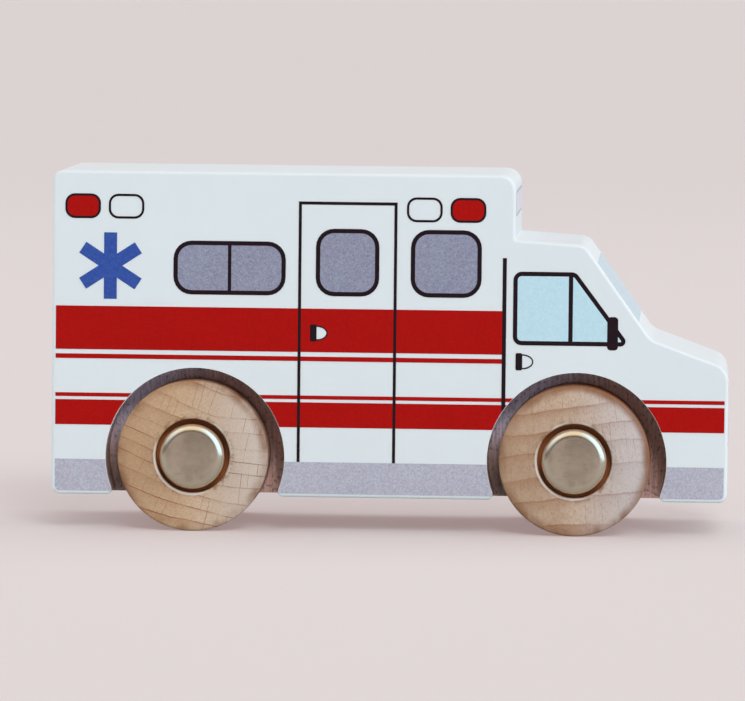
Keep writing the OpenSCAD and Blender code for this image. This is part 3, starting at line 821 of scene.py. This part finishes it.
def lathe_marks(net, look, tone, radius, grain, disc):
    """A wheel's tone with its rim and recess browned by the lathe, painted shade at the rim's upper
    front, chips left pale and a painted lit strip at the mouth's lower rear.

    Places are in millimetres: out from the axle, and down from the face.
    """
    out, depth, chip = net.parts(net.attribute("turned"))
    front, line_share, up = disc
    rim_out, mouth_out = radius / MM, look.recess_r / MM
    lean = net.times(net.plus(front, up), 0.7)
    rim = net.times(
        net.ramp(out, rim_out - 2, rim_out - 0.1),
        net.ramp(net.noise(grain, 0.22), 0.42, 0.66, 0.08, 0.75),
    )
    # Browned rim edge, made darker towards the upper front with painted shade
    edge = net.times(
        net.ramp(out, rim_out - 1.5, rim_out - 0.1),
        net.ramp(lean, -0.4, 0.7, 0.2, 0.9),
        net.ramp(line_share, 1, 0.35, 0.45, 1),
    )
    halo = net.times(
        net.ramp(out, mouth_out + 1.1, mouth_out + 0.2),
        net.ramp(net.noise(grain, 0.8), 0.46, 0.66, 0.04, 0.75),
    )
    inside = net.times(
        net.ramp(out, mouth_out + 0.3, mouth_out + 0.1), net.ramp(depth, 0.15, 0.5)
    )
    # Pale chips at the mouth, and a painted lit strip along its lower rear
    pale = net.times(
        net.ramp(out, mouth_out + 0.5, mouth_out + 0.3),
        net.math("MAXIMUM", chip, net.ramp(lean, -0.1, -0.36)),
        net.ramp(depth, 0.6, 0.3),
        0.9,
    )
    return net.layers(
        tone,
        (rim, look.scorch_and_shade, 1.4),
        (edge, look.scorch_and_shade, 1.7),
        (halo, look.scorch_and_shade, 1.5),
        (inside, look.recess, 1),
        (pale, look.sheen_and_chip_wood, 1.25),
    )


def wheel_material(look, radius):
    """Turned beech: growth rings with their own tones, late-wood lines, rays and short pores.

    One side of the wheel carries a painted sheen, the other painted shade, and the lathe has left
    its marks.
    """
    net = Surface("turned_wood")
    grain = net.attribute("grain")
    along, _, across = net.parts(grain)
    disc = net.parts(net.attribute("disc"))
    front, line_share, _ = disc
    ring, late, line = growth_rings(net, look, grain, across, line_share)
    ray = net.times(
        wood_rays(net, look, grain, along, ring),
        net.ramp(front, -0.6, 0.3, 0.45, 0.9),
        net.ramp(line_share, 0.3, 1, 0.7, 1),
    )
    fibres = net.streaks(grain, (2.4, 1.2, 3.4), 4, 0.75)
    pores = net.ramp(net.streaks(grain, (4.5, 1.5, 4.5), 2, 0.5), 0.58, 0.7)
    cloud = net.noise(grain, 0.14)

    tone = net.mix(net.ramp(late, 0.1, 1.1), opaque(look.pale_wood), opaque(look.warm_wood))
    tone = net.layers(
        tone,
        (net.ramp(cloud, 0.35, 0.7, 0, 0.35), look.warm_wood, 0.92),
        (net.ramp(fibres, 0.3, 0.75, 0, 0.42), look.growth_line, 1.1),
        # Painted sheen towards each wheel's front, painted shade towards its rear
        (net.ramp(front, -0.25, 0.95, 0, 0.72), look.sheen_and_chip_wood, 1),
        (net.ramp(front, 0.2, -1, 0, 0.62), look.painted_shade_wood, 1),
        (net.ramp(line_share, 1, 0.35), look.cool_tint, 1.15, "MULTIPLY"),
        (net.times(line, 0.85), look.growth_line, 1),
        (ray, look.growth_line, 1),
        (net.times(pores, 0.34), look.growth_line, 0.8),
    )
    tone = lathe_marks(net, look, tone, radius, grain, disc)
    rough = net.ramp(fibres, 0.2, 0.8, 0.46, 0.64)
    height = net.minus(fibres, net.times(net.plus(line, pores), 0.6))
    return net.coat(tone, rough, height, 0.03 * MM, 0.35)


# Caps and axles


def cap_shell(node, side, look, turns=128, arc_steps=12):
    """A pressed cap: blind hole, back, wall, rounded edge and a face that sinks to its middle."""
    centre, radius, inner, outer = disc_centre(node)
    axle = node.replace("cap_", "").rsplit("_", 1)[0] + "_axle"
    _, hole, _, reach = disc_centre(axle)
    corners = np.array([
        (0, reach, 0),
        (hole, reach, 0),
        (hole, inner, 0),
        (radius, inner, look.cap_back_r),
        (radius, outer, look.cap_edge_r),
        (0, outer - look.cap_dish, 0),
    ])
    profile = corner_arcs(corners, arc_steps)[0].reshape(-1, 2)
    points = lathe(profile[None], np.arange(turns) / turns, centre, side)
    local = (points - np.array([centre[0], 0, centre[1]])) / MM
    return Shell().grid(points, wrap_rows=True, wrap_columns=False, spun=local)


def axle_shell(node, look, turns=64):
    """A plain rod with bevelled ends."""
    centre, radius, _, reach = disc_centre(node)
    shoulder, end = radius - look.axle_bevel, reach - look.axle_bevel
    half = np.array([(0, reach), (shoulder, reach), (radius, end)])
    profile = np.concatenate([half, half[::-1] * (1, -1)])
    points = lathe(profile[None], np.arange(turns) / turns, centre, 1)
    return Shell().grid(points, wrap_rows=True, wrap_columns=False)


def cap_material(look, radius):
    """Plated steel: a satin face with polishing rings, blotches and scratches in a polished rim."""
    RING_WAVES, RING_HEIGHT = 16, 0.12
    net = Surface("cap_steel")
    spun = net.attribute("spun")
    x, _, z = net.parts(spun)
    out = net.math("SQRT", net.plus(net.times(x, x), net.times(z, z)))
    wander = net.noise(spun, 0.5)
    rings = net.math("SINE", net.times(net.plus(out, wander), RING_WAVES))
    blotch = net.ramp(net.noise(spun, 0.42, 4), 0.3, 0.7)
    marks = net.group(metal_group(), {"Roughness": 0.23, "Spread": 0.14})
    tone = net.mix(blotch, opaque(look.cap_steel, 0.84), opaque(look.cap_steel, 1.12))
    height = net.plus(marks["Height"], net.times(rings, RING_HEIGHT))
    face_out = (radius - look.cap_edge_r) / MM
    rim = net.ramp(out, face_out - 0.2, face_out + 0.5)
    polish = net.minus(1, net.times(rim, 0.15))
    tone = net.layers(tone, (rim, look.rim_steel, 1))
    rough = net.times(marks["Roughness"], polish)
    return net.coat(tone, rough, height, 0.004 * MM, metallic=1)


def axle_material(look):
    """Drawn steel rod with faint marks and a dull film."""
    FILM = 300
    net = Surface("axle_steel")
    marks = net.group(metal_group(), {"Roughness": 0.36, "Spread": 0.25})
    film = net.noise(net.objects(), FILM)
    tone = net.mix(film, opaque(look.axle_steel, 0.8), opaque(look.axle_steel))
    return net.coat(tone, marks["Roughness"], marks["Height"], 0.003 * MM, metallic=1)


# Print

# Of each ink: strength of its speckle, dots a metre, and how the names of its nodes start
INKS = {
    "red": (0.12, 3000, ("red_bands", "warning_lamps", "tail_lamps")),
    "silver": (0.25, 4200, ("sill_bands", "headlamps", "marker_outline")),
    "grey": (0.25, 4200, ("saloon_panes", "rear_panes")),
    "black": (0.1, 3300, (
        "saloon_frames", "cab_frame", "door_lines", "door_handles", "mirror",
        "lamp_outlines", "grille", "rear_door_lines",
    )),
    "pale_blue": (0.1, 3000, ("cab_panes",)),
    "screen": (0.08, 3000, ("windscreen",)),
    "marker": (0.1, 3600, ("marker_panel",)),
    "blue": (0.16, 3000, ("star",)),
}


def ink_material(name, rgb, strength, dots):
    """Printed ink on the satin paint: a speckled colour that follows the surface under it."""
    net = Surface(f"{name}_ink")
    speckle = {"Colour": opaque(rgb), "Strength": strength, "Dots": dots}
    tone = net.group(speckle_group(), speckle)["Colour"]
    satin = net.group(satin_group(), {"Roughness": 0.46, "Spread": 0.16, "Grain": 0.7})
    return net.coat(tone, satin["Roughness"], satin["Height"], 0.01 * MM, 0.1)


# Stage


def floor_mesh(half=20, cells=8):
    """A level square grid under the toy."""
    side = np.linspace(-half, half, cells + 1)
    x, y = np.meshgrid(side, side)
    return Shell().grid(np.stack([x, y, np.zeros_like(x)], axis=-1), wrap_columns=False)


def seen_ray(net):
    """1 for rays that the camera, metal or glass sees, and 0 for rays that carry light."""
    path = net.add("ShaderNodeLightPath").outputs
    seen = net.math("MAXIMUM", path["Is Camera Ray"], path["Is Glossy Ray"])
    return net.math("MAXIMUM", seen, path["Is Transmission Ray"])


def floor_material(look):
    """Pale paper that fades with distance behind the toy, with an even glow for seen rays, dusk in
    metal: painted light that lifts and warms its shadow.
    """
    FADE_FROM, FADE_TO, GRAINS = 0.55, 1.65, 1500
    net = Surface("pale_floor")
    place = net.objects()
    far = net.ramp(net.parts(place)[1], FADE_FROM, FADE_TO)
    grain = net.noise(place, GRAINS)
    speckle = net.times(grain, 0.05)
    far_floor = (far, look.floor, look.far_share)
    tone = net.layers(opaque(look.floor), far_floor, (speckle, look.floor, 0.8))
    mirrored = net.add("ShaderNodeLightPath").outputs["Is Glossy Ray"]
    far_glow = (far, look.glow, look.far_share)
    glow = net.layers(opaque(look.glow), far_glow, (mirrored, look.dusk, 1))
    light = net.add("ShaderNodeEmission", {"Color": glow})
    # Painted light: the glow lifts and warms the floor's shadow for camera, metal and glass rays
    factor = net.times(seen_ray(net), look.glow_share)
    shaders = {0: factor, 1: net.shader.outputs[0], 2: light.outputs[0]}
    both = net.add("ShaderNodeMixShader", shaders)
    net.feed(net.output, {"Surface": both.outputs[0]})
    return net.coat(tone, 0.8, grain, 0.02 * MM, 0.1)


def world_light(look):
    """Soft light from all round; the camera sees a pale studio, and metal also its other side.

    The light grows with the square of the way along the toy, whose mean over a level or upright
    face is 1/4. Of the mirrored directions on the camera's side, a dim wall fills the low part,
    the ceiling the high part, a large window the part that turns to the front and a fainter one
    the high part that turns to the rear.
    """
    world = bpy.data.worlds.new("soft_studio")
    world.use_nodes = True
    world.node_tree.nodes.clear()
    net = Net(world.node_tree)
    x, y, z = net.parts(net.add("ShaderNodeTexCoord").outputs["Generated"])
    ceiling = net.ramp(z, 0.3, 0.7)
    rear = net.times(net.ramp(x, -0.25, -0.5), net.ramp(z, 0.15, 0.4, 0, 0.35))
    window = net.math("MAXIMUM", rear, net.ramp(x, 0.12, 0.5))
    mirrored = net.layers(
        opaque(look.dusk),
        (ceiling, look.ceiling, look.ceiling_level),
        (window, look.window, look.window_level),
    )
    mirrored = net.mix(net.ramp(y, 0.1, -0.2), opaque(look.backdrop), mirrored)
    path = net.add("ShaderNodeLightPath").outputs
    shown = net.mix(path["Is Glossy Ray"], opaque(look.backdrop), mirrored)
    end_light, even_light = 4 * look.end_share, 1 - look.end_share
    ends = net.math("MULTIPLY_ADD", net.times(x, x), end_light, even_light)
    strength = net.times(ends, look.ambient)
    white = (1, 1, 1, 1)
    light = net.add("ShaderNodeBackground", {"Color": white, "Strength": strength})
    pale = net.add("ShaderNodeBackground", {"Color": shown, "Strength": 1})
    shaders = {0: seen_ray(net), 1: light.outputs[0], 2: pale.outputs[0]}
    both = net.add("ShaderNodeMixShader", shaders)
    net.add("ShaderNodeOutputWorld", {"Surface": both.outputs[0]})
    bpy.context.scene.world = world


def soft_lamp(name, strength, towards, width, tint=(1, 1, 1)):
    """A far, wide lamp whose light comes from a direction. Metal mirrors the world instead."""
    lamp = bpy.data.lights.new(name, "SUN")
    lamp.energy = strength
    lamp.color = tint
    lamp.angle = math.radians(width)
    holder = linked(name, lamp)
    holder.visible_glossy = False
    holder.rotation_mode = "QUATERNION"
    holder.rotation_quaternion = Vector(towards).to_track_quat("Z", "Y")


def photo_camera(look):
    """Camera that looks at one point of the right side, turned, tipped and rolled."""
    pose = Matrix()
    for turn, axis in ((look.yaw, "Z"), (math.pi / 2 - look.pitch, "X"), (look.roll, "Z")):
        pose @= Matrix.Rotation(turn, 4, axis)
    aim = Vector((look.aim_x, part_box("body")[0].y, look.aim_z))
    camera = bpy.data.cameras.new("photo_camera")
    camera.sensor_width = SENSOR_W
    camera.lens = look.focal_px / IMAGE_W * SENSOR_W
    camera.clip_end = CLIP_END
    holder = linked("photo_camera", camera)
    pose.translation = aim + pose.col[2].xyz * look.distance
    holder.matrix_world = pose
    bpy.context.scene.camera = holder


# Operators


class TOY_OT_body(Operator):
    """Build the painted wooden body"""

    bl_idname = "toy_ambulance.body"
    bl_label = "Body"

    def execute(self, context):
        look = settings().body
        side_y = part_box("body")[1].y
        axles = [disc_centre(f"wheel_{end}_right")[0] for end in ("rear", "front")]
        pocket = pocket_material(look, side_y, axles[0][0], axles[1][0] - axles[0][0])
        piece = body_shell(look, axles).piece("painted_body", paint_material(look), pocket)
        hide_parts("body")
        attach(piece, "chassis")
        return {"FINISHED"}


# Of each wheel: the pith's place seen from the hub in millimetres, how close the growth lines
# lie, how strongly they show, and the seed
WHEEL_WOOD = {
    "rear_right": ((19.0, 64.0), 1.0, 1.0, 11),
    "front_right": ((-14.0, 164.0), 0.6, 0.35, 27),
    "rear_left": ((-60.0, 35.0), 0.8, 0.8, 35),
    "front_left": ((45.0, -80.0), 0.7, 0.5, 49),
}


class TOY_OT_wheels(Operator):
    """Build the four turned wheels"""

    bl_idname = "toy_ambulance.wheels"
    bl_label = "Wheels"

    def execute(self, context):
        look = settings().wheels
        material = wheel_material(look, disc_centre("wheel_rear_right")[1])
        for end, side, sign in CORNERS:
            node = f"wheel_{end}_{side}"
            shell = wheel_shell(node, sign, WHEEL_WOOD[f"{end}_{side}"], look)
            piece = shell.piece(f"turned_{node}", material)
            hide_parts(node)
            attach(piece, f"{end}_{side}_wheel")
        return {"FINISHED"}


class TOY_OT_caps(Operator):
    """Build the four steel caps"""

    bl_idname = "toy_ambulance.caps"
    bl_label = "Caps"

    def execute(self, context):
        look = settings().metal
        material = cap_material(look, disc_centre("cap_rear_right")[1])
        for end, side, sign in CORNERS:
            node = f"cap_{end}_{side}"
            piece = cap_shell(node, sign, look).piece(f"pressed_{node}", material)
            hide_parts(node)
            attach(piece, f"{end}_axle_set")
        return {"FINISHED"}


class TOY_OT_axles(Operator):
    """Build the two axles"""

    bl_idname = "toy_ambulance.axles"
    bl_label = "Axles"

    def execute(self, context):
        look = settings().metal
        material = axle_material(look)
        for end in ENDS:
            node = f"{end}_axle"
            piece = axle_shell(node, look).piece(f"drawn_{node}", material)
            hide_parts(node)
            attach(piece, f"{end}_axle_set")
        return {"FINISHED"}


class TOY_OT_print(Operator):
    """Give every printed film its ink"""

    bl_idname = "toy_ambulance.print"
    bl_label = "Print"

    def execute(self, context):
        look = settings().print
        for ink, (strength, dots, starts) in INKS.items():
            material = ink_material(ink, getattr(look, ink), strength, dots)
            for name, piece in frame["nodes"].items():
                if name.startswith(starts):
                    piece.material_slots[0].material = material
        return {"FINISHED"}


class TOY_OT_stage(Operator):
    """Set up the floor, the light and the camera"""

    bl_idname = "toy_ambulance.stage"
    bl_label = "Stage"

    def execute(self, context):
        look = settings().stage
        floor_mesh().piece("pale_floor", floor_material(look))
        world_light(look)
        soft_lamp("key_light", look.key, KEY_FROM, KEY_WIDTH)
        soft_lamp("fill_light", look.fill, FILL_FROM, FILL_WIDTH)
        soft_lamp("side_light", look.side, SIDE_FROM, SIDE_WIDTH, look.side_tint)
        photo_camera(look)
        context.scene.view_settings.view_transform = "Standard"
        return {"FINISHED"}


OPERATORS = (TOY_OT_stage, TOY_OT_body, TOY_OT_wheels, TOY_OT_caps, TOY_OT_axles, TOY_OT_print)


class TOY_PT_panel(Panel):
    """Settings and build steps of the toy ambulance"""

    bl_idname = "TOY_PT_panel"
    bl_label = "Toy ambulance"
    bl_space_type = "VIEW_3D"
    bl_region_type = "UI"
    bl_category = "Toy ambulance"

    def draw(self, context):
        for group in ("body", "wheels", "metal", "print", "stage"):
            look = getattr(settings(), group)
            box = self.layout.box()
            box.label(text=group.capitalize())
            for name in look.bl_rna.properties.keys():
                if name not in ("rna_type", "name"):
                    box.prop(look, name)
        for operator in OPERATORS:
            self.layout.operator(operator.bl_idname)


CLASSES = (
    BodySettings, WheelSettings, MetalSettings, PrintSettings, StageSettings,
    ToyAmbulanceSettings, *OPERATORS, TOY_PT_panel,
)


def register():
    for kind in CLASSES:
        bpy.utils.register_class(kind)
    bpy.types.Scene.toy_ambulance = PointerProperty(type=ToyAmbulanceSettings)


def unregister():
    del bpy.types.Scene.toy_ambulance
    for kind in reversed(CLASSES):
        bpy.utils.unregister_class(kind)


def main():
    """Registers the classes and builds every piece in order."""
    register()
    bpy.ops.toy_ambulance.stage()
    bpy.ops.toy_ambulance.body()
    bpy.ops.toy_ambulance.wheels()
    bpy.ops.toy_ambulance.caps()
    bpy.ops.toy_ambulance.axles()
    bpy.ops.toy_ambulance.print()


if __name__ == "__main__":
    main()
